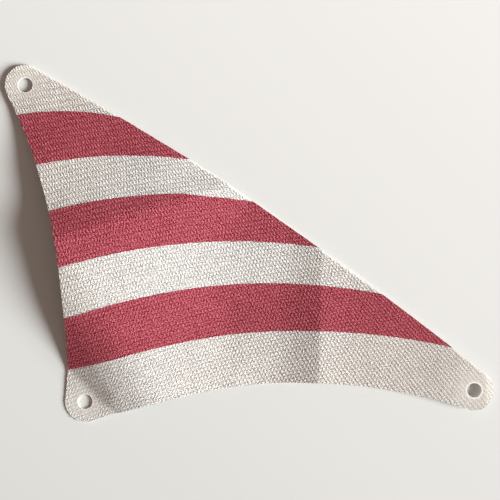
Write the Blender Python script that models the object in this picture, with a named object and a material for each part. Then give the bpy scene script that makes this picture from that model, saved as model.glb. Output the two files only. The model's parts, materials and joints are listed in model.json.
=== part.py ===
"""Triangular cloth sail of a toy ship, lying folded on a table.

One die-cut sheet of stiffened cloth carries three printed bands. The cloth is drawn flat,
cut with its three eyelet holes, divided at its two creases and then folded: every bend is
a named line on the flat cloth, so facets stay flat and bends stay round. The two creases
are the hinges. Lengths are in metres, +X runs along the foot and +Z is up.
"""

import math

import bmesh
import bpy
from mathutils import Matrix, Vector

MM = 0.001

# Cut pattern on the flat cloth. The tack hole is the origin and +X runs to the clew hole.
LUFF = 120 * MM  # tack hole to head hole
FOOT = 144 * MM  # tack hole to clew hole
LEECH = 200 * MM  # clew hole to head hole
EAR_RADIUS = 7.4 * MM
HOLE_RADIUS = 2.7 * MM
LUFF_BOW = -0.6 * MM  # how far each edge's middle stands out from the line of its holes
FOOT_BOW = -5.1 * MM
LEECH_BOW = 10.9 * MM

# Thicknesses
CLOTH = 0.4 * MM
INK = 0.05 * MM
INK_GAP = 0.05 * MM  # keeps the print clear of the cloth where a bend is faceted
FLOOR_CUT = 0.1 * MM  # how deep the resting facets are cut flat

# The printed bands. Each edge is an arc given by its distance up the luff from the tack
# hole, its distance up the leech from the clew hole, and its rise.
BANDS = {
    "lower_band": ((13.1 * MM, 16.1 * MM, 9.5 * MM), (32.3 * MM, 48.4 * MM, 7.5 * MM)),
    "middle_band": ((51.0 * MM, 77.6 * MM, 5.3 * MM), (72.2 * MM, 108.2 * MM, 3.6 * MM)),
    "upper_band": ((90.5 * MM, 135.7 * MM, 2.4 * MM), (109.8 * MM, 164.3 * MM, 1.5 * MM)),
}

# Folding. The cloth's middle strip, between the trough and the near valley, lies on the
# table, and each other facet is turned up or down from its neighbour by the fold's angle.
# A fold is: start and end of its line, angle in degrees (up is positive), width of the
# bend, and number of facets in the bend. A crease has no width.
TROUGH = ((48, -6), (61, 64), 8.6, 8, 4)
TACK_BEND = ((-6, 45), (24, -4), -28.9, 10, 8)
TACK_EAR_BEND = ((-1, 7.5), (11, -4), 23.2, 3, 4)
UPPER_CREASE = ((-8.5, 60), (56, 78.5), -18.6, 0, 0)
SHOULDER = ((-10.5, 76), (37, 81), 4.1, 5, 2)
HEAD_BEND = ((-15, 105), (13, 96), 12.9, 12, 5)
NEAR_VALLEY = ((71, -4), (78, 50), 6.7, 9, 3)
CLEW_CREASE = ((85.5, -4), (88.5, 42), -8.7, 0, 0)
FAR_VALLEY = ((100, -4), (101, 32), 3.3, 11, 2)
CLEW_RIM = ((148.6, -8), (148.6, 8), -15.0, 2, 3)

# Hinges at the creases
HINGE_GAP = 0.3 * MM
HINGE_BEVEL = 20.0  # each edge is a wedge of this half angle, so a panel folds to 140 degrees

# Smoothness of the cut
EDGE_STEP = 6 * MM
ROUND_STEP = 18.0  # degrees

WHITE = (0.72, 0.68, 0.63, 1.0)
RED = (0.43, 0.09, 0.12, 1.0)


def corners():
    """The tack, clew and head holes' centres on the flat cloth."""
    cosine = (LUFF**2 + FOOT**2 - LEECH**2) / (2 * LUFF * FOOT)
    head = Vector((cosine, math.sqrt(1 - cosine**2))) * LUFF
    return Vector((0, 0)), Vector((FOOT, 0)), head


TACK, CLEW, HEAD = corners()


def arc_points(centre, radius, start, turn, step):
    """Points on a circle from the angle start through turn, no more than step apart."""
    count = max(2, math.ceil(abs(turn) / step) + 1)
    angles = [start + turn * i / (count - 1) for i in range(count)]
    return [centre + radius * Vector((math.cos(a), math.sin(a))) for a in angles]


def angle_of(vector):
    return math.atan2(vector.y, vector.x)


def edge_arc(first, last, bow):
    """The cut edge between two ears: an arc that touches both ears' circles."""
    along = (last - first).normalized()
    outward = Vector((along.y, -along.x))
    half = (last - first).length / 2
    radius = (half**2 + bow**2 - EAR_RADIUS**2) / (2 * (bow - EAR_RADIUS))
    centre = (first + last) / 2 + outward * (bow - radius)
    start, end = angle_of(first - centre), angle_of(last - centre)
    turn = (end - start + math.pi) % math.tau - math.pi
    return arc_points(centre, abs(radius), start, turn, EDGE_STEP / abs(radius))


def outline():
    """The whole cut edge, counter-clockwise from the tack along the foot."""
    edges = [
        edge_arc(TACK, CLEW, FOOT_BOW),
        edge_arc(CLEW, HEAD, LEECH_BOW),
        edge_arc(HEAD, TACK, LUFF_BOW),
    ]
    points = []
    for i, ear in enumerate((TACK, CLEW, HEAD)):
        start = angle_of(edges[i - 1][-1] - ear)
        turn = (angle_of(edges[i][0] - ear) - start) % math.tau
        points += arc_points(ear, EAR_RADIUS, start, turn, math.radians(ROUND_STEP))[1:-1]
        points += edges[i]
    return points


def leech_edge(distance):
    """The point of the cut edge beside the leech's line of holes, that far from the clew."""
    along = (HEAD - CLEW).normalized()
    outward = Vector((along.y, -along.x))
    radius = ((LEECH / 2) ** 2 + LEECH_BOW**2 - EAR_RADIUS**2) / (2 * (LEECH_BOW - EAR_RADIUS))
    stands_out = LEECH_BOW - radius + math.sqrt(radius**2 - (distance - LEECH / 2) ** 2)
    return CLEW + along * distance + outward * stands_out


def band_edge(up_luff, up_leech, rise):
    """A band's edge, run out past the cloth at both ends."""
    first = HEAD.normalized() * up_luff
    last = leech_edge(up_leech)
    half = (last - first).length / 2
    radius = (half**2 + rise**2) / (2 * rise)
    along = (last - first).normalized()
    centre = (first + last) / 2 + Vector((-along.y, along.x)) * (rise - radius)
    start = angle_of(first - centre)
    turn = angle_of(last - centre) - start
    spare = EAR_RADIUS / radius
    return arc_points(
        centre, radius, start + spare, turn - 2 * spare, EDGE_STEP / radius
    )


class Fold:
    """A bend of the sheet about a line, which carries everything on its far side."""

    def __init__(self, fold, far_side):
        start, end, degrees, width, self.steps = fold
        self.start = Vector(start) * MM
        self.along = (Vector(end) * MM - self.start).normalized()
        across = Vector((-self.along.y, self.along.x))
        self.across = across if (far_side - self.start).dot(across) > 0 else -across
        self.angle = math.radians(degrees)
        self.width = width * MM

    def beyond(self, flat):
        """How far a point of the flat cloth lies past the line."""
        return (flat - self.start).dot(self.across)

    def carry(self, flat, placed):
        """Where the fold takes a point that its outer folds have placed."""
        into = self.beyond(flat) + self.width / 2
        if into <= 0:
            return placed
        across, lift = self.across.to_3d(), Vector((0, 0, 1))
        reach = (placed - self.start.to_3d()).dot(across) + self.width / 2
        edge = placed - across * reach
        edge.z = 0
        share = min(into / self.width, 1) if self.width else 1
        turned = self.angle * share
        if self.width:
            radius = self.width / self.angle
            edge += across * radius * math.sin(turned)
            edge += lift * radius * (1 - math.cos(turned))
        straight = reach - self.width if share == 1 else 0
        edge += (across * math.cos(turned) + lift * math.sin(turned)) * straight
        return edge + (lift * math.cos(turned) - across * math.sin(turned)) * placed.z

    def rows(self):
        """The planes that slice a sheet where this bend turns."""
        normal = self.across.to_3d()
        for i in range(self.steps + 1):
            away = (i / self.steps - 0.5) * self.width
            yield (self.start + self.across * away).to_3d(), normal


# The folds that carry each side, outermost first
HEAD_SIDE = [
    Fold(HEAD_BEND, HEAD),
    Fold(SHOULDER, HEAD),
    Fold(UPPER_CREASE, HEAD),
]
TACK_SIDE = [Fold(TACK_EAR_BEND, TACK), Fold(TACK_BEND, TACK)]
TROUGH_FOLD = Fold(TROUGH, TACK)
CLEW_SIDE = [
    Fold(CLEW_RIM, CLEW + Vector((EAR_RADIUS, 0))),
    Fold(FAR_VALLEY, CLEW),
    Fold(CLEW_CREASE, CLEW),
]
NEAR_FOLD = Fold(NEAR_VALLEY, CLEW)
FOLDS = TACK_SIDE + HEAD_SIDE + [TROUGH_FOLD] + CLEW_SIDE + [NEAR_FOLD]
UPPER_HINGE = HEAD_SIDE[-1]
CLEW_HINGE = CLEW_SIDE[-1]


def folded(point):
    """The place on the lying sail of a point of the flat cloth."""
    flat = point.to_2d()
    placed = point.copy()
    for fold in FOLDS:
        placed = fold.carry(flat, placed)
    placed.z += CLOTH / 2 - FLOOR_CUT
    return placed


def reset():
    """Empty the scene and make the collections for the parts and their cutters."""
    for obj in list(bpy.data.objects):
        bpy.data.objects.remove(obj, do_unlink=True)
    parts = bpy.data.collections.new("triangular_sail")
    cutters = bpy.data.collections.new("cutters")
    cutters.hide_render = True
    for collection in (parts, cutters):
        bpy.context.scene.collection.children.link(collection)
    return parts, cutters


def make_material(name, colour, roughness):
    material = bpy.data.materials.new(name)
    material.use_nodes = True
    shader = material.node_tree.nodes["Principled BSDF"]
    shader.inputs["Base Color"].default_value = colour
    shader.inputs["Roughness"].default_value = roughness
    shader.inputs["Metallic"].default_value = 0.0
    material.diffuse_color = colour
    return material


def drawn(name, loops, low, high):
    """A flat sheet cut to closed loops, from the height low to the height high."""
    curve = bpy.data.curves.new(name, "CURVE")
    curve.dimensions = "2D"
    curve.fill_mode = "BOTH"
    curve.extrude = (high - low) / 2
    for loop in loops:
        spline = curve.splines.new("POLY")
        spline.points.add(len(loop) - 1)
        for point, place in zip(spline.points, loop):
            point.co = (place.x, place.y, 0, 1)
        spline.use_cyclic_u = True
    sheet = bpy.data.objects.new(name, curve)
    bpy.context.scene.collection.objects.link(sheet)
    graph = bpy.context.evaluated_depsgraph_get()
    mesh = bpy.data.meshes.new_from_object(sheet.evaluated_get(graph))
    bpy.data.objects.remove(sheet, do_unlink=True)
    bpy.data.curves.remove(curve)
    mesh.transform(Matrix.Translation((0, 0, (high + low) / 2)))
    cleaned = bmesh.new()
    cleaned.from_mesh(mesh)
    bmesh.ops.remove_doubles(cleaned, verts=cleaned.verts, dist=0.001 * MM)
    bmesh.ops.recalc_face_normals(cleaned, faces=cleaned.faces)
    cleaned.to_mesh(mesh)
    cleaned.free()
    return mesh


def cut_by(mesh, cutter, operation):
    """The mesh left by one exact Boolean."""
    holder = bpy.data.objects.new("cut", mesh)
    tool = bpy.data.objects.new("tool", cutter)
    for obj in (holder, tool):
        bpy.context.scene.collection.objects.link(obj)
    boolean = holder.modifiers.new("cut", "BOOLEAN")
    boolean.operation = operation
    boolean.solver = "EXACT"
    boolean.object = tool
    graph = bpy.context.evaluated_depsgraph_get()
    result = bpy.data.meshes.new_from_object(holder.evaluated_get(graph))
    for obj in (holder, tool):
        bpy.data.objects.remove(obj, do_unlink=True)
    for used in (mesh, cutter):
        bpy.data.meshes.remove(used)
    return result


def cloth_sheet():
    """The flat cut cloth with its holes."""
    holes = [
        arc_points(ear, HOLE_RADIUS, 0, math.tau, math.radians(ROUND_STEP))[:-1]
        for ear in (TACK, CLEW, HEAD)
    ]
    return drawn("cloth", [outline(), *holes], -CLOTH / 2, CLOTH / 2)


def band_sheet(name):
    """The flat print of one band, out to the cut edge of the cloth."""
    low = CLOTH / 2 + INK_GAP
    lower, upper = (band_edge(*edge) for edge in BANDS[name])
    strip = drawn(name, [lower + upper[::-1]], low - CLOTH, low + INK + CLOTH)
    sheet = drawn(name, [outline()], low, low + INK)
    return cut_by(sheet, strip, "INTERSECT")


def trim(shape, point, normal):
    """Cut away what lies on the normal's side of a plane, and close the cut."""
    geometry = shape.verts[:] + shape.edges[:] + shape.faces[:]
    cut = bmesh.ops.bisect_plane(
        shape, geom=geometry, plane_co=point, plane_no=normal, clear_outer=True
    )
    rim = [item for item in cut["geom_cut"] if isinstance(item, bmesh.types.BMEdge)]
    bmesh.ops.edgenet_fill(shape, edges=rim)


def trim_at_hinge(shape, hinge, keep):
    """Keep one side of a crease, with a wedge-shaped edge. keep is 1 past the line, or -1."""
    tip = (hinge.start + hinge.across * keep * HINGE_GAP / 2).to_3d()
    lean = math.radians(HINGE_BEVEL)
    for side in (1, -1):
        away = -keep * hinge.across.to_3d() * math.sin(lean)
        trim(shape, tip, away + Vector((0, 0, side * math.cos(lean))))


def finished(mesh, sides):
    """Trim a flat sheet to its panel, slice it where it bends, and fold it."""
    shape = bmesh.new()
    shape.from_mesh(mesh)
    for hinge, keep in sides:
        trim_at_hinge(shape, hinge, keep)
    for fold in FOLDS:
        if fold.width:
            for point, normal in fold.rows():
                geometry = shape.verts[:] + shape.edges[:] + shape.faces[:]
                bmesh.ops.bisect_plane(
                    shape, geom=geometry, plane_co=point, plane_no=normal
                )
    bmesh.ops.remove_doubles(shape, verts=shape.verts, dist=0.001 * MM)
    bmesh.ops.triangulate(shape, faces=shape.faces)
    for vertex in shape.verts:
        vertex.co = folded(vertex.co)
    bmesh.ops.recalc_face_normals(shape, faces=shape.faces)
    shape.to_mesh(mesh)
    shape.free()
    return mesh


def hinge_frame(hinge):
    """A frame on a crease of the lying sail, with its X axis along the crease."""
    first = folded(hinge.start.to_3d())
    second = folded((hinge.start + hinge.along * LUFF / 4).to_3d())
    x_axis = (second - first).normalized()
    y_axis = Vector((0, 0, 1)).cross(x_axis).normalized()
    z_axis = x_axis.cross(y_axis)
    frame = Matrix((x_axis, y_axis, z_axis)).transposed().to_4x4()
    frame.translation = first
    return frame


def main():
    parts, cutters = reset()
    white = make_material("sail_cloth", WHITE, 0.85)
    red = make_material("red_print", RED, 0.75)
    main_sides = ((UPPER_HINGE, -1), (CLEW_HINGE, -1))
    head_sides = ((UPPER_HINGE, 1),)
    clew_sides = ((CLEW_HINGE, 1),)
    pieces = {
        "main_cloth": (cloth_sheet(), main_sides, None, white),
        "head_cloth": (cloth_sheet(), head_sides, UPPER_HINGE, white),
        "clew_cloth": (cloth_sheet(), clew_sides, CLEW_HINGE, white),
        "upper_band": (band_sheet("upper_band"), head_sides, UPPER_HINGE, red),
        "middle_band_head": (band_sheet("middle_band"), head_sides, UPPER_HINGE, red),
        "middle_band_main": (band_sheet("middle_band"), main_sides, None, red),
        "lower_band_main": (band_sheet("lower_band"), main_sides, None, red),
        "lower_band_clew": (band_sheet("lower_band"), clew_sides, CLEW_HINGE, red),
    }
    meshes = {name: finished(mesh, sides) for name, (mesh, sides, _, _) in pieces.items()}

    # The row's origin is the middle of the sail's footprint
    places = [vertex.co for mesh in meshes.values() for vertex in mesh.vertices]
    middle = Vector(
        (
            (min(p.x for p in places) + max(p.x for p in places)) / 2,
            (min(p.y for p in places) + max(p.y for p in places)) / 2,
            0,
        )
    )

    empties = {}
    for name, hinge in (("upper_crease_axis", UPPER_HINGE), ("clew_crease_axis", CLEW_HINGE)):
        empty = bpy.data.objects.new(name, None)
        empty.empty_display_size = 10 * MM
        empty.matrix_world = Matrix.Translation(-middle) @ hinge_frame(hinge)
        parts.objects.link(empty)
        empties[hinge] = empty

    # What the sail stands on is cut flat by a block whose top is the table
    bpy.ops.mesh.primitive_cube_add(size=1, location=(0, 0, -5 * MM))
    table = bpy.context.active_object
    table.name = "table_cutter"
    table.scale = (2 * FOOT, 2 * FOOT, 10 * MM)
    table.display_type = "WIRE"
    for collection in table.users_collection:
        collection.objects.unlink(table)
    cutters.objects.link(table)

    for name, (_, _, hinge, material) in pieces.items():
        mesh = meshes[name]
        mesh.name = name
        mesh.materials.clear()
        mesh.materials.append(material)
        mesh.transform(Matrix.Translation(-middle))
        obj = bpy.data.objects.new(name, mesh)
        parts.objects.link(obj)
        if hinge:
            obj.parent = empties[hinge]
            mesh.transform(empties[hinge].matrix_world.inverted())
        if name in ("main_cloth", "head_cloth"):
            flat_cut = obj.modifiers.new("flat_where_it_stands", "BOOLEAN")
            flat_cut.operation = "DIFFERENCE"
            flat_cut.solver = "EXACT"
            flat_cut.object = table


main()
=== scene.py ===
"""Looks of a toy ship's triangular cloth sail that lies folded on a table.

The sheet is drawn flat, with its eyelet holes, sliced finely, given its thickness and
folded about the same lines as the frame's solids, with rounded creases. It is made as two
pieces that meet in its flat strip. The three bands are
thin prints that lie on it, and loose threads stand out of its cut edges. Lengths are in
metres and +Z is up.
"""

import json
import math
import random

import bmesh
import bpy
import numpy as np
from bpy.props import FloatProperty, FloatVectorProperty, IntProperty, PointerProperty
from mathutils import Matrix, Vector, noise


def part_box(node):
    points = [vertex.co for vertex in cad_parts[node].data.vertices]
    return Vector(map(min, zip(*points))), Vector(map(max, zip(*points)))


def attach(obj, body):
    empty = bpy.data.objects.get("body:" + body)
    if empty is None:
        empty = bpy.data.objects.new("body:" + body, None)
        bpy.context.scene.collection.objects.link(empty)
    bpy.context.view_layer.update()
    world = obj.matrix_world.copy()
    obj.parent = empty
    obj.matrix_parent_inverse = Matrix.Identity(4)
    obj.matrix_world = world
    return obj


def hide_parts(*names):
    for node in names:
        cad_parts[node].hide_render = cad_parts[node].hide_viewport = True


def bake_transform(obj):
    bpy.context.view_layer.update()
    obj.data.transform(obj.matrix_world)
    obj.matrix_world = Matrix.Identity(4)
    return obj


bl_info = {
    "name": "Triangular sail",
    "version": (1, 0, 0),
    "blender": (4, 5, 0),
    "location": "3D View > Sidebar > Sail",
    "description": "Makes the cloth, prints, loose threads and stage of a toy ship's sail",
    "category": "Object",
}

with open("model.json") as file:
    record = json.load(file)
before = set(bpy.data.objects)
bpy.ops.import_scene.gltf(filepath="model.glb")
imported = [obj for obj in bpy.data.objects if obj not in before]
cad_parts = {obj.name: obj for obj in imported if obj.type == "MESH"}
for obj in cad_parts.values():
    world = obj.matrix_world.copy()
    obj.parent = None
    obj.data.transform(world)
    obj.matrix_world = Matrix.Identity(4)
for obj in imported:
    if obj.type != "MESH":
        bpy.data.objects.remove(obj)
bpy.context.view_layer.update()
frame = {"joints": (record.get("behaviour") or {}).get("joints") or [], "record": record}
MM = 0.001

# The lie of the folds on the flat cloth, in millimetres and degrees: start and end of each
# line, angle (up is positive) and width of the bend. The tack hole is the flat cloth's
# origin and +X runs to the clew hole.
TROUGH = ((48, -6), (61, 64), 8.6, 8)
TACK_BEND = ((-6, 45), (24, -4), -28.9, 17)
TACK_EAR_BEND = ((-1, 7.5), (11, -4), 23.2, 3)
UPPER_CREASE = ((-8.5, 60), (56, 78.5), -18.6, 2.4)
SHOULDER = ((-10.5, 76), (37, 81), 4.1, 5)
HEAD_BEND = ((-15, 105), (13, 96), 12.9, 12)
NEAR_VALLEY = ((71, -4), (78, 50), 6.7, 9)
CLEW_CREASE = ((85.9, -4), (88.6, 42), -8.7, 0.8)
FAR_VALLEY = ((100, -4), (101, 32), 3.3, 11)
CLEW_RIM = ((148.6, -8), (148.6, 8), -15.0, 2)

# How far the cloth turns before and after a crease's line when it folds there, and the
# spacing of the slices in between, in millimetres
UPPER_TURN = (-8, 8, 0.5)
CLEW_TURN = (-1.2, 3, 0.25)

# The two cloth pieces meet on this line of the flat strip
SEAM = ((62, -12), (70, 72))

# Each printed band's two edges: distance up the luff from the tack hole, distance up the
# leech from the clew hole, and rise of the arc, in millimetres
LOWER_BAND = ((13.1, 15.6, 9.6), (32.45, 48.1, 7.6))
MIDDLE_BAND = ((50.8, 77.4, 5.3), (71.45, 107.0, 3.6))
UPPER_BAND = ((89.35, 134.6, 2.15), (109.4, 164.4, 1.5))

# The weave's ribs and cross rows over the flat cloth, counted in repeats. The numbers
# multiply x, y, x squared, x times y and y squared, in millimetres.
RIBS = (0.678, 0.162, -0.00035, 0.00213, 0.00188)
ROWS = (0.230, -0.628, -0.00045, -0.00170, 0.00092)

# Low bulges and hollows of the cloth, each with its middle, radius and height in
# millimetres of the flat cloth: at the ears, above the upper crease, below it on the luff's
# side, along the strip that lies on the table, and beyond the clew crease
EAR_BULGES = (
    (-20, 134, 6, 1.7),
    (-32, 120, 9, 1.2),
    (-12, 116, 5, 0.5),
    (4, 8, 5, 0.25),
    (10, 0, 4, 0.55),
    (138, 4, 8, 0.6),
    (146, 0, 8, -0.45),
)
HEAD_BULGES = (
    (-23, 104, 9, 0.55),
    (-12, 104, 8, 0.45),
    (-4, 100, 8, 0.55),
    (5, 100, 11, 0.6),
    (-12, 88, 5, 0.3),
    (24, 90, 14, 0.75),
    (32, 88, 5, 0.25),
    (-5, 83, 20, 1.45),
    (36, 83, 19, 1.8),
    (-12, 72, 5, -0.55),
    (20, 72, 5, -0.25),
)
LUFF_BULGES = (
    (8, 60, 8, 0.25),
    (16, 60, 5, 0.25),
    (20, 52, 11, 0.6),
    (16, 40, 11, -0.85),
    (4, 36, 5, -0.35),
    (8, 34, 15, 1.25),
    (20, 32, 20, 0.55),
    (0, 24, 8, -0.4),
    (20, 10, 11, 0.6),
    (32, 0, 15, 1.15),
)
STRIP_BULGES = (
    (52, 60, 5, -0.35),
    (60, 52, 9, 0.55),
    (56, 44, 5, 0.3),
    (48, 36, 5, -0.4),
    (40, 32, 8, -0.25),
    (56, 12, 5, 0.3),
    (48, 8, 8, 0.75),
    (56, 4, 5, 0.25),
)
CLEW_BULGES = (
    (88, 32, 8, 0.35),
    (104, 20, 8, 0.3),
    (102, 46, 12, -0.4),
    (120, 32, 20, -0.5),
)
# A low ridge along the foot's end of the clew crease leans as the crease does
RIDGE_LEAN = 0.06
RIDGE_BULGES = tuple((86 + RIDGE_LEAN * (up + 2), up, 4, 0.25) for up in (-2, 6, 14, 22))
BULGES = EAR_BULGES + HEAD_BULGES + LUFF_BULGES + STRIP_BULGES + CLEW_BULGES + RIDGE_BULGES

SLICE = 1.7 * MM  # longest side of a facet
CUT_STEP = 0.45 * MM  # spacing of the points of a cut edge
CUT_GRAIN = 0.9 * MM  # distance over which a cut edge wanders
MERGE = 0.001 * MM  # points of a flat sheet that lie closer are one
SHARP_ANGLE = math.radians(50)  # edges that turn more than this are shaded sharp
TRACE_FADE = 1 * MM  # width over which a band's trace on the back fades
EDGE_SEED, HOLE_SEED, BAND_SEED = 1, 2, 5  # each cut edge wanders by its own seed

# The longest loose thread leaves the luff here, in millimetres of the flat cloth, and can
# be this many times as long as the others
LONG_THREAD = Vector((-5.7, 31.7))
LONG_THREAD_SHARE = 1.4

# A hole's threads are at most half as long as an edge's, and each of its points counts for
# three when the places are drawn
HOLE_THREAD_SHARE = 0.5
HOLE_THREAD_ODDS = 3

THREAD_CLEARANCE = 1  # millimetres that the threads keep from the turn of a crease
THREAD_RINGS = 6  # rings of points along a thread
THREAD_ROOT = 3  # widths of a thread that stay inside the cloth
THREAD_TURN = 0.6  # spread of the threads' bearings, in radians
THREAD_CURL = 1.2  # most that a thread curls, in radians
THREAD_RISE = (-0.2, 0.3)  # how far a tip drops or rises, in lengths
THREAD_SHORTEST = 0.35  # share of its possible length that a thread has at least

# Each reach is the two distances, in metres, between which something changes as the cloth
# leaves a hole. The ribs grow from weak to strong with the distance from the tack. At the
# clew the cloth shows little but ribs. The weave is calmer at both.
RIB_REACH = (0.015, 0.095)
RIBBED_REACH = (0.02, 0.06)
TACK_CALM_REACH = (0.005, 0.035)
CLEW_CALM_REACH = (0.01, 0.07)

# Shares of the ribs near the tack and far from it, of the cross rows and of the crossings,
# and what the ribbed cloth at the clew adds to the three
RIB_SHARES = (0.16, 0.56)
ROW_SHARE = 0.35
CROSSING_SHARE = 0.24
RIBBED_SHARES = (0.17, -0.23, -0.16)

TACK_CALM = 0.75  # share of the weave's depth left at the tack
WANDER_SCALE = 130.0  # the yarns wander in patches, this many to a metre
FIBRE_SCALE = 3000.0  # fibres to a metre
FIBRE_RELIEF = 0.18  # share of the fibres' roughness that the bump has

# Widths of the paler cut edges, in metres: along the leech, a painted highlight of the cut edge
# that faces the lamp, and round the tack, clew and head holes, partly frayed fibres and partly a
# painted highlight
LEECH_HIGHLIGHT = 0.001
HOLE_RIMS_AND_HIGHLIGHTS = (0.0004, 0.0008, 0.0004)

# The wear round a hole fades out between two distances from its centre. The yellower tone
# of age sets in between two distances from the tack and from the sail's middle.
WORN_REACH = (0.003, 0.009)
WORN_SHARE = 0.6
TACK_AGE_REACH = (0.02, 0.05)
MIDDLE_AGE_REACH = (0.03, 0.07)
SAIL_MIDDLE = (0.045, 0.062)
TRACE_SHARE = 0.3  # how much of the prints shows on the back

TABLE_SIZE = 6.0
# The table's two colours are a painted light gradient, dimmer on the tack's side and brighter on
# the leech's side
TABLE_LIGHT_FADE = 0.185  # distance either way in X + Y between the table's two colours


class SailCut(bpy.types.PropertyGroup):
    """Sizes of the cut sheet"""

    luff: FloatProperty(
        name="Luff", description="Tack hole to head hole", default=0.120, unit="LENGTH"
    )
    foot: FloatProperty(
        name="Foot", description="Tack hole to clew hole", default=0.144, unit="LENGTH"
    )
    leech: FloatProperty(
        name="Leech", description="Clew hole to head hole", default=0.200, unit="LENGTH"
    )
    ear_radius: FloatProperty(
        name="Ear", description="Radius of a rounded corner", default=0.0074, unit="LENGTH"
    )
    hole_radius: FloatProperty(
        name="Hole", description="Radius of an eyelet hole", default=0.0027, unit="LENGTH"
    )
    luff_bow: FloatProperty(
        name="Luff bow",
        description="How far the luff stands out from its holes' line",
        default=-0.0006,
        unit="LENGTH",
    )
    foot_bow: FloatProperty(
        name="Foot bow",
        description="How far the foot stands out from its holes' line",
        default=-0.0051,
        unit="LENGTH",
    )
    leech_bow: FloatProperty(
        name="Leech bow",
        description="How far the leech stands out from its holes' line",
        default=0.0109,
        unit="LENGTH",
    )
    cloth: FloatProperty(
        name="Cloth", description="Thickness of the cloth", default=0.0004, unit="LENGTH"
    )
    sunk: FloatProperty(
        name="Sunk",
        description="How far the resting facets are flattened by the table",
        default=0.0001,
        unit="LENGTH",
    )
    fray: FloatProperty(
        name="Fray",
        description="How uneven the cut edge is",
        default=0.00006,
        unit="LENGTH",
    )


class SailPrint(bpy.types.PropertyGroup):
    """The printed bands"""

    ink: FloatProperty(
        name="Ink", description="Thickness of the print", default=0.00005, unit="LENGTH"
    )
    lift: FloatProperty(
        name="Lift",
        description="Height of the print's underside above the cloth's face",
        default=0.00002,
        unit="LENGTH",
    )
    ragged: FloatProperty(
        name="Ragged",
        description="How uneven a band's edge is",
        default=0.0001,
        unit="LENGTH",
    )
    bare_leech: FloatProperty(
        name="Bare leech",
        description="Width of the unprinted rim at the leech",
        default=0.00005,
        unit="LENGTH",
    )
    bare_luff: FloatProperty(
        name="Bare luff",
        description="Width of the unprinted rim at the luff",
        default=0.0001,
        unit="LENGTH",
    )
    calm: FloatProperty(
        name="Calm", description="Share of the depth left at the clew", default=0.22
    )
    depth: FloatProperty(
        name="Depth", description="How strongly the weave shows in the print", default=1.6
    )
    # The ink's two colours: the paler tops are worn ink with a painted highlight, the dark
    # between the yarns is partly painted shade
    rubbed_and_highlit: FloatVectorProperty(
        name="Rubbed ink",
        description="Colour of the ink on the yarns' tops",
        default=(0.508, 0.133, 0.171),
        subtype="COLOR",
        min=0,
        max=1,
    )
    deep_and_shaded: FloatVectorProperty(
        name="Deep ink",
        description="Colour of the ink between the yarns",
        default=(0.165, 0.0, 0.003),
        subtype="COLOR",
        min=0,
        max=1,
    )


class SailWeave(bpy.types.PropertyGroup):
    """The cloth's weave"""

    white: FloatVectorProperty(
        name="White",
        description="Colour of the yarn's tops",
        default=(0.82, 0.81, 0.772),
        subtype="COLOR",
        min=0,
        max=1,
    )
    # The gap colour is painted shade in the hollows between the white yarns
    gap: FloatVectorProperty(
        name="Gap",
        description="Colour between the yarns",
        default=(0.25, 0.25, 0.243),
        subtype="COLOR",
        min=0,
        max=1,
    )
    aged: FloatVectorProperty(
        name="Aged",
        description="What the white is multiplied by along the foot and in the far ears",
        default=(1.0, 0.97, 0.943),
        subtype="COLOR",
        min=0,
        max=1,
    )
    worn: FloatVectorProperty(
        name="Worn",
        description="Colour round the eyelet holes, where the weave is worn",
        default=(0.595, 0.592, 0.55),
        subtype="COLOR",
        min=0,
        max=1,
    )
    # The edge colour is partly the bare cut fibres and partly a painted highlight on edges that
    # face the lamp
    edge: FloatVectorProperty(
        name="Edge",
        description="Colour of the bare cut edge",
        default=(0.89, 0.87, 0.82),
        subtype="COLOR",
        min=0,
        max=1,
    )
    through: FloatVectorProperty(
        name="Show through",
        description="Colour of the prints' trace on the back",
        default=(0.62, 0.30, 0.31),
        subtype="COLOR",
        min=0,
        max=1,
    )
    relief: FloatProperty(
        name="Relief", description="Height of the yarns", default=0.00019, unit="LENGTH"
    )
    wander: FloatProperty(
        name="Wander", description="How far the yarns wander, in repeats", default=0.6
    )
    beads: FloatProperty(
        name="Beads", description="How uneven the yarns' crossings are", default=0.3
    )
    calm: FloatProperty(
        name="Calm", description="Share of the depth left at the clew", default=0.38
    )
    depth: FloatProperty(
        name="Depth", description="How strongly the weave shows", default=1.2
    )
    fibres: FloatProperty(
        name="Fibres", description="How rough the yarns' fibres look", default=6.2
    )


class SailThreads(bpy.types.PropertyGroup):
    """Loose threads at the cut edges"""

    count: IntProperty(name="Threads", description="How many stick out", default=60)
    length: FloatProperty(
        name="Length", description="Length of the longest", default=0.0011, unit="LENGTH"
    )
    width: FloatProperty(
        name="Width", description="Thickness of a thread", default=0.0001, unit="LENGTH"
    )
    seed: IntProperty(name="Seed", description="Another number moves them", default=4)


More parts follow.
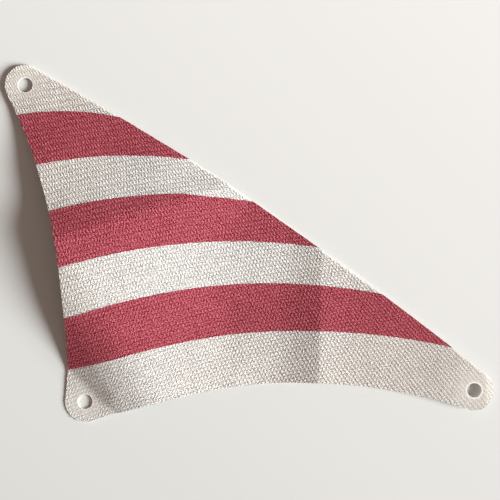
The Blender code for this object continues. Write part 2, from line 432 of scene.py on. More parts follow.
class SailStage(bpy.types.PropertyGroup):
    """The table, the lamps and the camera"""

    # The table's near and far colours paint a light gradient: dimmer light on the tack's side,
    # brighter on the leech's side
    near: FloatVectorProperty(
        name="Table at the tack",
        description="Colour of the table top on the tack's side",
        default=(0.607, 0.632, 0.62),
        subtype="COLOR",
        min=0,
        max=1,
    )
    far: FloatVectorProperty(
        name="Table at the leech",
        description="Colour of the table top on the leech's side",
        default=(0.772, 0.794, 0.781),
        subtype="COLOR",
        min=0,
        max=1,
    )
    backdrop: FloatVectorProperty(
        name="Backdrop",
        description="Colour seen beyond the table",
        default=(0.93, 0.92, 0.90),
        subtype="COLOR",
        min=0,
        max=1,
    )
    sun: FloatProperty(name="Sun", description="Strength of the key lamp", default=7.68)
    sun_bearing: FloatProperty(
        name="Sun bearing",
        description="Direction to the lamp, from +X",
        default=math.radians(-16.2),
        subtype="ANGLE",
    )
    sun_height: FloatProperty(
        name="Sun height",
        description="Angle of the lamp above the table",
        default=math.radians(22.5),
        subtype="ANGLE",
    )
    sun_spread: FloatProperty(
        name="Sun spread",
        description="Apparent size of the lamp",
        default=math.radians(29),
        subtype="ANGLE",
    )
    sky: FloatVectorProperty(
        name="Sky",
        description="Light from all round",
        default=(0.258, 0.1915, 0.160),
        subtype="COLOR",
        min=0,
        max=1,
    )


def corners(cut):
    """The tack, clew and head holes' centres on the flat cloth."""
    cosine = (cut.luff**2 + cut.foot**2 - cut.leech**2) / (2 * cut.luff * cut.foot)
    head = Vector((cosine, math.sqrt(1 - cosine**2))) * cut.luff
    return Vector((0, 0)), Vector((cut.foot, 0)), head


def angle_of(vector):
    return math.atan2(vector.y, vector.x)


def direction(bearing, height):
    """The unit vector at a bearing from +X and an angle above the table."""
    level = math.cos(height)
    return Vector((level * math.cos(bearing), level * math.sin(bearing), math.sin(height)))


def arc_points(centre, radius, start, turn, step=CUT_STEP):
    """Points on a circle from the angle start through turn, no more than step apart."""
    count = max(2, math.ceil(abs(turn) * radius / step) + 1)
    angles = [start + turn * i / (count - 1) for i in range(count)]
    return [centre + radius * Vector((math.cos(a), math.sin(a))) for a in angles]


def arc_radius(cut, half, bow):
    """The signed radius of a cut edge, whose arc touches both of its ears' circles."""
    return (half**2 + bow**2 - cut.ear_radius**2) / (2 * (bow - cut.ear_radius))


def edge_circle(cut, first, last, bow):
    """Centre and signed radius of the cut edge between two ears."""
    along = (last - first).normalized()
    outward = Vector((along.y, -along.x))
    radius = arc_radius(cut, (last - first).length / 2, bow)
    return (first + last) / 2 + outward * (bow - radius), radius


def edge_arc(cut, first, last, bow):
    """The cut edge between two ears."""
    centre, radius = edge_circle(cut, first, last, bow)
    start, end = angle_of(first - centre), angle_of(last - centre)
    turn = (end - start + math.pi) % math.tau - math.pi
    return arc_points(centre, abs(radius), start, turn)


def outline(cut, leech_margin=0.0, luff_margin=0.0):
    """The cut edge, counter-clockwise from the tack along the foot, drawn in by margins."""
    tack, clew, head = corners(cut)
    edges = [
        edge_arc(cut, tack, clew, cut.foot_bow),
        edge_arc(cut, clew, head, cut.leech_bow),
        edge_arc(cut, head, tack, cut.luff_bow),
    ]
    points, margins = [], []
    for i, ear in enumerate((tack, clew, head)):
        start = angle_of(edges[i - 1][-1] - ear)
        turn = (angle_of(edges[i][0] - ear) - start) % math.tau
        rim = arc_points(ear, cut.ear_radius, start, turn)[1:-1]
        points += rim + edges[i]
        margins += [0.0] * len(rim)
        margins += [(0.0, leech_margin, luff_margin)[i]] * len(edges[i])
    return [
        point - outward * margin
        for point, outward, margin in zip(points, outwards(points), margins)
    ]


def outwards(loop):
    """Unit vectors out of a counter-clockwise loop at each of its points."""
    for before, after in zip(loop[-1:] + loop[:-1], loop[1:] + loop[:1]):
        along = (after - before).normalized()
        yield Vector((along.y, -along.x))


def uneven(loop, depth, seed):
    """A loop whose points wander in and out by up to depth, as a cut through yarns does."""
    moved = []
    for point, outward in zip(loop, outwards(loop)):
        place = Vector((point.x, point.y, seed * MM)) / CUT_GRAIN
        moved.append(point + outward * noise.noise(place) * depth * 2)
    return moved


def leech_edge(cut, distance):
    """The point of the cut edge beside the leech's line of holes, that far from the clew."""
    _, clew, head = corners(cut)
    along = (head - clew).normalized()
    outward = Vector((along.y, -along.x))
    half = cut.leech / 2
    radius = arc_radius(cut, half, cut.leech_bow)
    stands_out = cut.leech_bow - radius + math.sqrt(radius**2 - (distance - half) ** 2)
    return clew + along * distance + outward * stands_out


def band_ends(cut, up_luff, up_leech):
    """Where a band's edge meets the luff's line of holes and the leech's cut edge."""
    _, _, head = corners(cut)
    return head.normalized() * up_luff * MM, leech_edge(cut, up_leech * MM)


def band_circle(cut, up_luff, up_leech, rise):
    """Centre and radius of a band's edge."""
    first, last = band_ends(cut, up_luff, up_leech)
    rise *= MM
    half = (last - first).length / 2
    radius = (half**2 + rise**2) / (2 * rise)
    along = (last - first).normalized()
    return (first + last) / 2 + Vector((-along.y, along.x)) * (rise - radius), radius


def band_edge(cut, up_luff, up_leech, rise):
    """A band's edge, run out past the cloth at both ends."""
    first, last = band_ends(cut, up_luff, up_leech)
    centre, radius = band_circle(cut, up_luff, up_leech, rise)
    start = angle_of(first - centre)
    turn = angle_of(last - centre) - start
    spare = cut.ear_radius / radius
    return arc_points(centre, radius, start + spare, turn - 2 * spare)


class Fold:
    """A bend of the sheet about a line, which carries everything on its far side."""

    def __init__(self, fold, far_side):
        start, end, degrees, width = fold
        self.start = np.array(start, float) * MM
        along = np.array(end, float) * MM - self.start
        along /= np.linalg.norm(along)
        across = np.array((-along[1], along[0]))
        self.across = across if (np.array(far_side) - self.start) @ across > 0 else -across
        self.angle = math.radians(degrees)
        self.width = width * MM

    def carry(self, flat, placed):
        """Where the fold takes points of the flat cloth that its outer folds have placed."""
        across = np.append(self.across, 0)
        into = (flat - self.start) @ self.across + self.width / 2
        reach = (placed[:, :2] - self.start) @ self.across + self.width / 2
        height = placed[:, 2]
        turned = self.angle * np.clip(into / self.width, 0, 1)
        straight = np.where(into >= self.width, reach - self.width, 0)
        radius = self.width / self.angle
        out = radius * np.sin(turned) + np.cos(turned) * straight - np.sin(turned) * height
        up = radius * (1 - np.cos(turned)) + np.sin(turned) * straight
        up += np.cos(turned) * height
        moved = placed - np.outer(reach, across)
        moved[:, :2] += np.outer(out, self.across)
        moved[:, 2] = up
        return np.where((into > 0)[:, None], moved, placed)

    def rows(self, low, high, spacing):
        """Points of the lines along the bend that slice a sheet between two distances."""
        steps = max(2, math.ceil((high - low) / spacing))
        for i in range(steps + 1):
            yield self.start + self.across * (low + (high - low) * i / steps)


def folds(cut):
    """Every fold, outermost first on each side of the strip that lies on the table."""
    tack, clew, head = corners(cut)
    return [
        Fold(TACK_EAR_BEND, tack),
        Fold(TACK_BEND, tack),
        Fold(HEAD_BEND, head),
        Fold(SHOULDER, head),
        Fold(UPPER_CREASE, head),
        Fold(TROUGH, tack),
        Fold(CLEW_RIM, clew + Vector((cut.ear_radius, 0))),
        Fold(FAR_VALLEY, clew),
        Fold(CLEW_CREASE, clew),
        Fold(NEAR_VALLEY, clew),
    ]


def relief(flat):
    """Height that the bulges add at points of the flat cloth."""
    x, y = flat[:, 0] / MM, flat[:, 1] / MM
    heights = np.zeros(len(flat))
    for across, up, radius, height in BULGES:
        square = (x - across) ** 2 + (y - up) ** 2
        heights += height * np.exp(-square / (2 * radius**2))
    return heights * MM


def folded(cut, points):
    """The places on the lying sail of points of the flat cloth, before it is centred."""
    points = np.asarray(points, float).reshape(-1, 3)
    placed = points.copy()
    for fold in folds(cut):
        placed = fold.carry(points[:, :2], placed)
    placed[:, 2] += cut.cloth / 2 - cut.sunk
    return placed


def middle(cut):
    """The middle of the sail's footprint, which is the frame's origin."""
    edge = [(p.x, p.y, side * cut.cloth / 2) for p in outline(cut) for side in (-1, 1)]
    places = folded(cut, edge)
    centre = (places.min(0) + places.max(0)) / 2
    return np.array((centre[0], centre[1], 0))


def filled(name, loops):
    """A flat open sheet cut to closed loops."""
    curve = bpy.data.curves.new(name, "CURVE")
    curve.dimensions = "2D"
    curve.fill_mode = "BOTH"
    for loop in loops:
        spline = curve.splines.new("POLY")
        spline.points.add(len(loop) - 1)
        for point, place in zip(spline.points, loop):
            point.co = (place.x, place.y, 0, 1)
        spline.use_cyclic_u = True
    drawn = bpy.data.objects.new(name, curve)
    bpy.context.scene.collection.objects.link(drawn)
    graph = bpy.context.evaluated_depsgraph_get()
    mesh = bpy.data.meshes.new_from_object(drawn.evaluated_get(graph))
    bpy.data.objects.remove(drawn, do_unlink=True)
    bpy.data.curves.remove(curve)
    sheet = bmesh.new()
    sheet.from_mesh(mesh)
    bpy.data.meshes.remove(mesh)
    bmesh.ops.remove_doubles(sheet, verts=sheet.verts, dist=MERGE)
    return sheet


def slice_at(sheet, point, normal, keep_inner=False):
    """Cut a sheet's faces along a line. keep_inner drops what lies on the normal's side."""
    geometry = sheet.verts[:] + sheet.edges[:] + sheet.faces[:]
    bmesh.ops.bisect_plane(
        sheet,
        geom=geometry,
        dist=MERGE,
        plane_co=(point[0], point[1], 0),
        plane_no=(normal[0], normal[1], 0),
        clear_outer=keep_inner,
    )


def slice_finely(cut, sheet):
    """Slice a flat sheet along its bends and then on a square grid."""
    _, clew, head = corners(cut)
    rows = [(fold, -fold.width / 2, fold.width / 2, SLICE) for fold in folds(cut)]
    creases = (UPPER_CREASE, head, UPPER_TURN), (CLEW_CREASE, clew, CLEW_TURN)
    for crease, far_side, turn in creases:
        rows.append((Fold(crease, far_side), *(distance * MM for distance in turn)))
    for fold, low, high, spacing in rows:
        for point in fold.rows(low, high, spacing):
            slice_at(sheet, point, fold.across)
    for axis, normal in enumerate(((1, 0), (0, 1))):
        places = [vertex.co[axis] for vertex in sheet.verts]
        for i in range(math.ceil(min(places) / SLICE), math.ceil(max(places) / SLICE)):
            slice_at(sheet, (i * SLICE, i * SLICE), normal)
    bmesh.ops.remove_doubles(sheet, verts=sheet.verts, dist=MERGE)


def thicken(sheet, low, high):
    """Turn a flat open sheet into a closed slab from the height low to the height high."""
    for vertex in sheet.verts:
        vertex.co.z = low
    top = bmesh.ops.extrude_face_region(sheet, geom=sheet.faces[:])["geom"]
    for item in top:
        if isinstance(item, bmesh.types.BMVert):
            item.co.z = high
    bmesh.ops.recalc_face_normals(sheet, faces=sheet.faces)


def weave_phase(numbers, x, y):
    """Repeats of the weave at points of the flat cloth, in millimetres."""
    return numbers[0] * x + numbers[1] * y + (
        numbers[2] * x * x + numbers[3] * x * y + numbers[4] * y * y
    )


def print_depth(cut, flat):
    """How far inside a printed band each point of the flat cloth lies, 0 to 1."""
    shares = np.zeros(len(flat))
    for band in (LOWER_BAND, MIDDLE_BAND, UPPER_BAND):
        (lower, low), (upper, high) = (band_circle(cut, *edge) for edge in band)
        above = np.linalg.norm(flat[:, :2] - lower, axis=1) - low
        below = high - np.linalg.norm(flat[:, :2] - upper, axis=1)
        shares += np.clip(np.minimum(above, below) / TRACE_FADE + 0.5, 0, 1)
    return shares


def made_piece(cut, name, sheet, material):
    """Note where a flat slab's points lie on the weave and the prints, fold it and link it."""
    mesh = bpy.data.meshes.new(name)
    sheet.to_mesh(mesh)
    sheet.free()
    count = len(mesh.vertices)
    flat = np.empty(count * 3)
    mesh.vertices.foreach_get("co", flat)
    flat = flat.reshape(-1, 3)
    corner = np.empty(len(mesh.loops), int)
    mesh.loops.foreach_get("vertex_index", corner)
    x, y = flat[:, 0] / MM, flat[:, 1] / MM
    weave = np.stack((weave_phase(RIBS, x, y), weave_phase(ROWS, x, y)), 1)[corner]
    walls = [i for face in mesh.polygons if abs(face.normal.z) < 0.5 for i in face.loop_indices]
    weave[walls] = 0  # a cut edge shows no weave
    mesh.uv_layers.new(name="weave").uv.foreach_set("vector", weave.ravel())
    pattern = mesh.uv_layers.new(name="cut_pattern")
    pattern.uv.foreach_set("vector", flat[corner, :2].ravel())
    through = print_depth(cut, flat) * (flat[:, 2] < 0)
    mesh.attributes.new("show_through", "FLOAT", "POINT").data.foreach_set("value", through)
    raised = flat.copy()
    raised[:, 2] += relief(flat)
    places = folded(cut, raised) - middle(cut)
    places[:, 2] = np.maximum(places[:, 2], 0)  # nothing goes through the table
    mesh.vertices.foreach_set("co", places.ravel())
    mesh.materials.append(material)
    mesh.shade_smooth()
    mesh.set_sharp_from_angle(angle=SHARP_ANGLE)
    piece = bpy.data.objects.new(name, mesh)
    bpy.context.scene.collection.objects.link(piece)
    return piece


class Nodes:
    """A material's node tree, with short ways to add to it."""

    def __init__(self, name):
        self.material = bpy.data.materials.new(name)
        self.material.use_nodes = True
        self.tree = self.material.node_tree
        self.shader = self.tree.nodes["Principled BSDF"]

    def add(self, kind, links=(), **settings):
        node = self.tree.nodes.new(kind)
        for key, value in settings.items():
            setattr(node, key, value)
        for socket, source in dict(links).items():
            if isinstance(source, bpy.types.NodeSocket):
                self.tree.links.new(source, node.inputs[socket])
            else:
                node.inputs[socket].default_value = source
        return node

    def math(self, operation, first, second=0.0, third=0.0):
        links = {0: first, 1: second}
        if operation == "MULTIPLY_ADD":
            links[2] = third
        return self.add("ShaderNodeMath", links, operation=operation).outputs[0]

    def mix(self, factor, first, second, blend="MIX"):
        links = {0: factor, 6: first, 7: second}
        node = self.add("ShaderNodeMix", links, data_type="RGBA", blend_type=blend)
        return node.outputs[2]

    def noise(self, place, scale, detail=2.0):
        links = {"Vector": place, "Scale": scale, "Detail": detail}
        return self.add("ShaderNodeTexNoise", links).outputs["Fac"]

    def finish(self, colour, roughness, specular):
        """Give the shader its colour and how matt it is."""
        self.tree.links.new(colour, self.shader.inputs["Base Color"])
        self.shader.inputs["Roughness"].default_value = roughness
        self.shader.inputs["Specular IOR Level"].default_value = specular


def distance_from(nodes, pattern, centre):
    """The distance from a point of the flat cloth."""
    links = {0: pattern, 1: (*centre, 0)}
    return nodes.add("ShaderNodeVectorMath", links, operation="DISTANCE").outputs["Value"]


def by_distance(nodes, pattern, centre, reaches, values):
    """A number that changes between two distances from a point of the flat cloth."""
    reach = distance_from(nodes, pattern, centre)
    links = {0: reach, 1: reaches[0], 2: reaches[1], 3: values[0], 4: values[1]}
    return nodes.add("ShaderNodeMapRange", links).outputs[0]


def near_circle(nodes, pattern, centre, radius, width):
    """1 on a circle of the flat cloth, falling to 0 at the width from it."""
    reach = distance_from(nodes, pattern, centre)
    away = nodes.math("ABSOLUTE", nodes.math("SUBTRACT", reach, radius))
    return nodes.add("ShaderNodeMapRange", {0: away, 1: 0.0, 2: width, 3: 1.0, 4: 0.0}).outputs[0]


def weave_nodes(nodes, cut, weave, depth, calm):
    """The weave's tone, about 0 in the gaps, where the colours paint shade, to 1 on the yarns,
    its place and its bump.
    """
    lie = nodes.add("ShaderNodeUVMap", uv_map="weave").outputs[0]
    pattern = nodes.add("ShaderNodeUVMap", uv_map="cut_pattern").outputs[0]
    tack, clew, _ = corners(cut)
    wander = nodes.noise(pattern, WANDER_SCALE)
    split = nodes.add("ShaderNodeSeparateXYZ", {0: lie})
    ribs = nodes.math("MULTIPLY_ADD", wander, weave.wander, split.outputs[0])
    rows = nodes.math("MULTIPLY_ADD", wander, -weave.wander, split.outputs[1])
    crossed = nodes.math("ADD", ribs, rows)
    rib_share = by_distance(nodes, pattern, tack, RIB_REACH, RIB_SHARES)
    shares = (rib_share, ROW_SHARE, CROSSING_SHARE)
    ribbed = by_distance(nodes, pattern, clew, RIBBED_REACH, (1.0, 0.0))
    waves = 0.0
    for phase, share, added in zip((ribs, rows, crossed), shares, RIBBED_SHARES):
        share = nodes.math("MULTIPLY_ADD", ribbed, added, share)
        turned = nodes.math("MULTIPLY", phase, math.tau)
        waves = nodes.math("MULTIPLY_ADD", nodes.math("COSINE", turned), share, waves)
    crossing = nodes.add("ShaderNodeVectorMath", {0: lie, 1: (0.5, 0.5, 0)}).outputs[0]
    floor = nodes.add("ShaderNodeVectorMath", {0: crossing}, operation="FLOOR").outputs[0]
    links = {"Vector": floor}
    beads = nodes.add("ShaderNodeTexWhiteNoise", links, noise_dimensions="2D").outputs[0]
    height = nodes.math("MULTIPLY_ADD", waves, 0.5, -weave.beads / 2)
    height = nodes.math("MULTIPLY_ADD", beads, weave.beads, height)
    grain = nodes.math("SUBTRACT", nodes.noise(pattern, FIBRE_SCALE, 0.0), 0.5)
    near_tack = by_distance(nodes, pattern, tack, TACK_CALM_REACH, (TACK_CALM * depth, depth))
    near_clew = by_distance(nodes, pattern, clew, CLEW_CALM_REACH, (calm * depth, depth))
    shown = nodes.math("MINIMUM", near_tack, near_clew)
    rough = nodes.math("MULTIPLY_ADD", grain, weave.fibres * FIBRE_RELIEF, height)
    rough = nodes.math("MULTIPLY", rough, shown)
    bump = nodes.add("ShaderNodeBump", {"Distance": weave.relief, "Height": rough})
    nodes.tree.links.new(bump.outputs[0], nodes.shader.inputs["Normal"])
    # The tone is low in the weave's hollows, where the colours paint shade between the yarns, and
    # the fibre grain adds random tone
    hollow_shade_and_grain = nodes.math("MULTIPLY_ADD", grain, weave.fibres, height)
    hollow_shade_and_grain = nodes.math("MULTIPLY_ADD", hollow_shade_and_grain, shown, 0.5)
    return hollow_shade_and_grain, pattern, bump


def cloth_material(cut, weave):
    """White stiffened cloth, with painted shade in the gaps between its yarns and paler cut edges
    that are partly frayed and partly a painted highlight.
    """
    if "woven_sailcloth" in bpy.data.materials:
        return bpy.data.materials["woven_sailcloth"]
    nodes = Nodes("woven_sailcloth")
    hollow_shade_and_grain, pattern, bump = weave_nodes(nodes, cut, weave, weave.depth, weave.calm)
    # Low places of the weave take the gap colour, painted shade between the yarns
    shade_ramp = nodes.add("ShaderNodeMapRange", {0: hollow_shade_and_grain, 1: 0.0, 2: 1.0}).outputs[0]
    colour = nodes.mix(shade_ramp, (*weave.gap, 1), (*weave.white, 1))
    tack, clew, head = corners(cut)
    # The leech and the holes' rims are paler: partly frayed fibres, partly a painted highlight of
    # cut edges that face the lamp
    leech = edge_circle(cut, clew, head, cut.leech_bow)
    edges = near_circle(nodes, pattern, *leech, LEECH_HIGHLIGHT)
    worn = 0.0
    for ear, rim in zip((tack, clew, head), HOLE_RIMS_AND_HIGHLIGHTS):
        hole = near_circle(nodes, pattern, ear, cut.hole_radius, rim)
        edges = nodes.math("MAXIMUM", edges, hole)
        ear_wear = by_distance(nodes, pattern, ear, WORN_REACH, (WORN_SHARE, 0.0))
        worn = nodes.math("MAXIMUM", worn, ear_wear)
    from_tack = by_distance(nodes, pattern, tack, TACK_AGE_REACH, (0.0, 1.0))
    from_middle = by_distance(nodes, pattern, SAIL_MIDDLE, MIDDLE_AGE_REACH, (0.0, 1.0))
    aged = nodes.math("MINIMUM", from_tack, from_middle)
    colour = nodes.mix(worn, colour, (*weave.worn, 1))
    colour = nodes.mix(aged, colour, (*weave.aged, 1), "MULTIPLY")
    # Paler rims: frayed fibres and a painted highlight
    colour = nodes.mix(edges, colour, (*weave.edge, 1))
    woven = nodes.math("SUBTRACT", 1.0, nodes.math("MAXIMUM", edges, worn))
    nodes.tree.links.new(woven, bump.inputs["Strength"])
    through = nodes.add("ShaderNodeAttribute", attribute_name="show_through")
    trace = nodes.math("MULTIPLY", through.outputs["Fac"], TRACE_SHARE)
    colour = nodes.mix(trace, colour, (*weave.through, 1))
    nodes.finish(colour, roughness=0.85, specular=0.3)
    return nodes.material


def print_material(cut, weave, ink):
    """Red ink soaked into the weave, paler on the yarns' tops, where the ink is worn and a
    painted highlight adds to it, and darker between them with painted shade.
    """
    nodes = Nodes("red_ink")
    hollow_shade_and_grain = weave_nodes(nodes, cut, weave, ink.depth, ink.calm)[0]
    # Low places of the weave take the deep colour, painted shade between the yarns
    shade_ramp = nodes.add("ShaderNodeMapRange", {0: hollow_shade_and_grain, 1: 0.0, 2: 1.0}).outputs[0]
    colour = nodes.mix(shade_ramp, (*ink.deep_and_shaded, 1), (*ink.rubbed_and_highlit, 1))
    nodes.finish(colour, roughness=0.75, specular=0.05)
    return nodes.material


def bend_at(piece, name):
    """Look up a crease's joint and the side its moving panel lies on, and bake the piece's
    placement into its mesh.
    """
    joint = next(j for j in frame["joints"] if j["name"] == name)
    point = Vector(joint["pos_m"])
    axis = Vector(joint["axis"]).normalized()
    across = Vector((0, 0, 1)).cross(axis).normalized()
    node = frame["record"]["behaviour"]["bodies"][joint["child"]][0]
    low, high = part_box(node)
    if ((low + high) / 2 - point).dot(across) < 0:
        across = -across
    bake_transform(piece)


class SAIL_OT_cloth(bpy.types.Operator):
    """Makes the sheet of cloth as two pieces that meet in its flat strip"""

    bl_idname = "sail.cloth"
    bl_label = "Cloth"

    def execute(self, context):
        cut = context.scene.sail_cut
        tack, clew, head = corners(cut)
        edge = uneven(outline(cut), cut.fray, EDGE_SEED)
        rims = (arc_points(ear, cut.hole_radius, 0, math.tau)[:-1] for ear in (tack, clew, head))
        holes = [uneven(rim, cut.fray / 2, HOLE_SEED) for rim in rims]
        white = cloth_material(cut, context.scene.sail_weave)
        seam = np.array(SEAM, float) * MM
        along = seam[1] - seam[0]
        to_luff = np.array((-along[1], along[0])) / np.linalg.norm(along)
        for name, outside, crease, turn, nodes, on_it in (
            (
                "luff_side_cloth",
                -to_luff,
                "upper_crease",
                UPPER_TURN,
                ("main_cloth", "head_cloth"),
                ("upper_print", "middle_print", "head_threads", "main_threads"),
            ),
            (
                "clew_side_cloth",
                to_luff,
                "clew_crease",
                CLEW_TURN,
                ("clew_cloth",),
                ("lower_print", "clew_threads"),
            ),
        ):
            sheet = filled(name, [edge, *holes])
            slice_at(sheet, seam[0], outside, keep_inner=True)
            slice_finely(cut, sheet)
            area = sum(face.calc_area() for face in sheet.faces)
            thicken(sheet, -cut.cloth / 2, cut.cloth / 2)
            piece = made_piece(cut, name, sheet, white)
            bend_at(piece, crease)
            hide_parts(*nodes)
        return {"FINISHED"}


class SAIL_OT_prints(bpy.types.Operator):
    """Makes the three printed bands"""

    bl_idname = "sail.prints"
    bl_label = "Printed bands"

    def execute(self, context):
        cut, ink = context.scene.sail_cut, context.scene.sail_print
        red = print_material(cut, context.scene.sail_weave, ink)
        for seed, (name, band, crease, turn, nodes) in enumerate(
            (
                ("upper_print", UPPER_BAND, None, None, ("upper_band",)),
                (
                    "middle_print",
                    MIDDLE_BAND,
                    "upper_crease",
                    UPPER_TURN,
                    ("middle_band_head", "middle_band_main"),
                ),
                (
                    "lower_print",
                    LOWER_BAND,
                    "clew_crease",
                    CLEW_TURN,
                    ("lower_band_main", "lower_band_clew"),
                ),
            )
        ):
            sheet = self.band(cut, ink, name, band, seed)
            slice_finely(cut, sheet)
            low = cut.cloth / 2 + ink.lift
            thicken(sheet, low, low + ink.ink)
            piece = made_piece(cut, name, sheet, red)
            if crease:
                bend_at(piece, crease)
            else:
                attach(piece, "head_panel")
            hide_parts(*nodes)
        return {"FINISHED"}

    def band(self, cut, ink, name, band, seed):
        """The flat print of one band, within the cloth's printed outline."""
        lower, upper = (band_edge(cut, *edge) for edge in band)
        loop = uneven(lower + upper[::-1], ink.ragged, BAND_SEED + seed)
        printed = outline(cut, ink.bare_leech, ink.bare_luff)
        shapes = []
        # The band is the thicker block, so that no two faces coincide
        for part, reach in ((loop, 2 * MM), (uneven(printed, cut.fray, EDGE_SEED), MM)):
            sheet = filled(name, [part])
            thicken(sheet, -reach, reach)
            mesh = bpy.data.meshes.new(name)
            sheet.to_mesh(mesh)
            sheet.free()
            shapes.append(bpy.data.objects.new(name, mesh))
            bpy.context.scene.collection.objects.link(shapes[-1])
        boolean = shapes[1].modifiers.new("band", "BOOLEAN")
        boolean.operation = "INTERSECT"
        boolean.solver = "EXACT"
        boolean.object = shapes[0]
        graph = bpy.context.evaluated_depsgraph_get()
        mesh = bpy.data.meshes.new_from_object(shapes[1].evaluated_get(graph))
        sheet = bmesh.new()
        sheet.from_mesh(mesh)
        bpy.data.meshes.remove(mesh)
        for shape in shapes:
            used = shape.data
            bpy.data.objects.remove(shape, do_unlink=True)
            bpy.data.meshes.remove(used)
        sheet.normal_update()
        others = [face for face in sheet.faces if face.normal.z < 0.9]
        bmesh.ops.delete(sheet, geom=others, context="FACES")
        for vertex in sheet.verts:
            vertex.co.z = 0
        return sheet


class SAIL_OT_threads(bpy.types.Operator):
    """Makes the loose threads that stick out of the cut edges"""

    bl_idname = "sail.threads"
    bl_label = "Loose threads"

    def execute(self, context):
        cut, loose = context.scene.sail_cut, context.scene.sail_threads
        dice = random.Random(loose.seed)
        tack, clew, head = corners(cut)
        spots = self.spots(outline(cut), 1.0)
        for ear in (tack, clew, head):
            rim = arc_points(ear, cut.hole_radius, 0, -math.tau)[:-1]
            spots += self.spots(rim, HOLE_THREAD_SHARE) * HOLE_THREAD_ODDS
        chosen = dice.sample(spots, loose.count)
        longest = min(spots, key=lambda spot: (spot[0] - LONG_THREAD * MM).length)
        chosen.append((*longest[:2], LONG_THREAD_SHARE))
        white = cloth_material(cut, context.scene.sail_weave)
        creases = Fold(UPPER_CREASE, head), Fold(CLEW_CREASE, clew)
        below, above = UPPER_TURN[0] - THREAD_CLEARANCE, UPPER_TURN[1] + THREAD_CLEARANCE
        before, after = CLEW_TURN[0] - THREAD_CLEARANCE, CLEW_TURN[1] + THREAD_CLEARANCE
        for body, wanted in (
            ("head_panel", lambda up, right: up > above),
            ("main_panel", lambda up, right: up < below and right < before),
            ("clew_panel", lambda up, right: right > after),
        ):
            sheet = bmesh.new()
            for spot, outward, reach in chosen:
                up, right = ((np.array(spot) - f.start) @ f.across / MM for f in creases)
                if wanted(up, right):
                    self.thread(sheet, spot, outward, reach * loose.length, loose.width, dice)
            name = body.replace("panel", "threads")
            piece = made_piece(cut, name, sheet, white)
            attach(piece, body)
        return {"FINISHED"}

    def spots(self, loop, reach):
        """Where threads can leave a loop: place, direction and share of the full length."""
        return [(place, outward, reach) for place, outward in zip(loop, outwards(loop))]

    def thread(self, sheet, spot, outward, length, width, dice):
        """Add one curled thread, as a thin square tube on the flat cloth."""
        bearing = angle_of(outward) + dice.gauss(0, THREAD_TURN)
        curl = dice.uniform(-THREAD_CURL, THREAD_CURL)
        rise = dice.uniform(*THREAD_RISE) * length
        length *= dice.uniform(THREAD_SHORTEST, 1)
        place = spot - outward * THREAD_ROOT * width
        rings = []
        for i in range(THREAD_RINGS):
            share = i / (THREAD_RINGS - 1)
            ahead = Vector((math.cos(bearing), math.sin(bearing), 0))
            beside = Vector((-ahead.y, ahead.x, 0))
            centre = place.to_3d() + Vector((0, 0, rise * share))
            thin = width / 2 * (1 - 0.5 * share)  # half as thick at the tip
            ring = [
                sheet.verts.new(centre + thin * (beside * x + Vector((0, 0, z))))
                for x, z in ((1, 0), (0, 1), (-1, 0), (0, -1))
            ]
            rings.append(ring)
            place = place + ahead.to_2d() * (length + THREAD_ROOT * width) / THREAD_RINGS
            bearing += curl / THREAD_RINGS
        for near, far in zip(rings, rings[1:]):
            for i in range(4):
                sheet.faces.new((near[i - 1], near[i], far[i], far[i - 1]))
        sheet.faces.new(rings[0])
        sheet.faces.new(rings[-1][::-1])


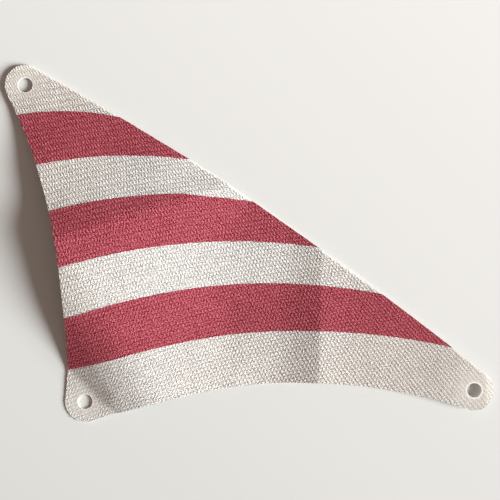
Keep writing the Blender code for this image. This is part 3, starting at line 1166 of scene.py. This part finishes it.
class SAIL_OT_stage(bpy.types.Operator):
    """Makes the table, the lamps and the camera"""

    bl_idname = "sail.stage"
    bl_label = "Table, lamps and camera"

    def execute(self, context):
        stage = context.scene.sail_stage
        self.table(stage)
        self.lamps(stage)
        self.camera()
        context.scene.view_settings.view_transform = "Standard"
        return {"FINISHED"}

    def table(self, stage):
        bpy.ops.mesh.primitive_plane_add(size=TABLE_SIZE)
        table = bpy.context.active_object
        table.name = "table_top"
        nodes = Nodes("table_top")
        # The table's colour runs from the near to the far colour, a painted light gradient
        place = nodes.add("ShaderNodeTexCoord").outputs["Object"]
        split = nodes.add("ShaderNodeSeparateXYZ", {0: place})
        across = nodes.math("ADD", split.outputs[0], split.outputs[1])
        links = {0: across, 1: -TABLE_LIGHT_FADE, 2: TABLE_LIGHT_FADE}
        share = nodes.add("ShaderNodeMapRange", links).outputs[0]
        colour = nodes.mix(share, (*stage.near, 1), (*stage.far, 1))
        nodes.finish(colour, roughness=0.9, specular=0.0)
        table.data.materials.append(nodes.material)

    def lamps(self, stage):
        lamp = bpy.data.lights.new("key_lamp", "SUN")
        lamp.energy = stage.sun
        lamp.angle = stage.sun_spread
        sun = bpy.data.objects.new("key_lamp", lamp)
        toward = direction(stage.sun_bearing, stage.sun_height)
        sun.location = toward
        sun.rotation_euler = toward.to_track_quat("Z", "Y").to_euler()
        bpy.context.scene.collection.objects.link(sun)
        world = bpy.data.worlds.new("sky")
        world.use_nodes = True
        tree = world.node_tree
        background = tree.nodes["Background"]
        path = tree.nodes.new("ShaderNodeLightPath")
        seen = path.outputs["Is Camera Ray"]
        for ray in ("Is Glossy Ray", "Is Transmission Ray"):
            either = tree.nodes.new("ShaderNodeMath")
            either.operation = "MAXIMUM"
            tree.links.new(seen, either.inputs[0])
            tree.links.new(path.outputs[ray], either.inputs[1])
            seen = either.outputs[0]
        colour = tree.nodes.new("ShaderNodeMix")
        colour.data_type = "RGBA"
        colour.inputs[6].default_value = (*stage.sky, 1)
        colour.inputs[7].default_value = (*stage.backdrop, 1)
        tree.links.new(seen, colour.inputs[0])
        tree.links.new(colour.outputs[2], background.inputs["Color"])
        bpy.context.scene.world = world

    def camera(self):
        """The camera stands almost straight above the sail."""
        aim = Vector((-0.46, -4.18, 0.1)) * MM
        away = 338.0 * MM
        picture, focal = 500, 914.7  # pixels
        bearing, height, roll = (math.radians(a) for a in (-170.8, 88.14, -1.82))
        back = direction(bearing, height)
        level = Vector((0, 1, 0)).cross(back).normalized()
        upright = back.cross(level)
        right = level * math.cos(roll) + upright * math.sin(roll)
        up = back.cross(right)
        lens = bpy.data.cameras.new("camera")
        lens.sensor_width = 36
        lens.lens = lens.sensor_width * focal / picture
        camera = bpy.data.objects.new("camera", lens)
        turn = Matrix((right, up, back)).transposed().to_4x4()
        camera.matrix_world = Matrix.Translation(aim + back * away) @ turn
        bpy.context.scene.collection.objects.link(camera)
        bpy.context.scene.camera = camera


class SAIL_PT_panel(bpy.types.Panel):
    """Lists the sail's sizes, colours and pieces"""

    bl_idname = "SAIL_PT_panel"
    bl_label = "Triangular sail"
    bl_space_type = "VIEW_3D"
    bl_region_type = "UI"
    bl_category = "Sail"

    def draw(self, context):
        for name in SETTINGS:
            box = self.layout.box()
            settings = getattr(context.scene, name)
            for key in settings.__annotations__:
                box.prop(settings, key)
        for step in STEPS:
            self.layout.operator(step.bl_idname)


SETTINGS = {
    "sail_cut": SailCut,
    "sail_print": SailPrint,
    "sail_weave": SailWeave,
    "sail_threads": SailThreads,
    "sail_stage": SailStage,
}
STEPS = (SAIL_OT_prints, SAIL_OT_threads, SAIL_OT_cloth, SAIL_OT_stage)
CLASSES = (*SETTINGS.values(), *STEPS, SAIL_PT_panel)


def register():
    for cls in CLASSES:
        bpy.utils.register_class(cls)
    for name, settings in SETTINGS.items():
        setattr(bpy.types.Scene, name, PointerProperty(type=settings))


def unregister():
    for name in SETTINGS:
        delattr(bpy.types.Scene, name)
    for cls in reversed(CLASSES):
        bpy.utils.unregister_class(cls)


def main():
    register()
    bpy.ops.sail.prints()
    bpy.ops.sail.threads()
    bpy.ops.sail.cloth()
    bpy.ops.sail.stage()


if __name__ == "__main__":
    main()
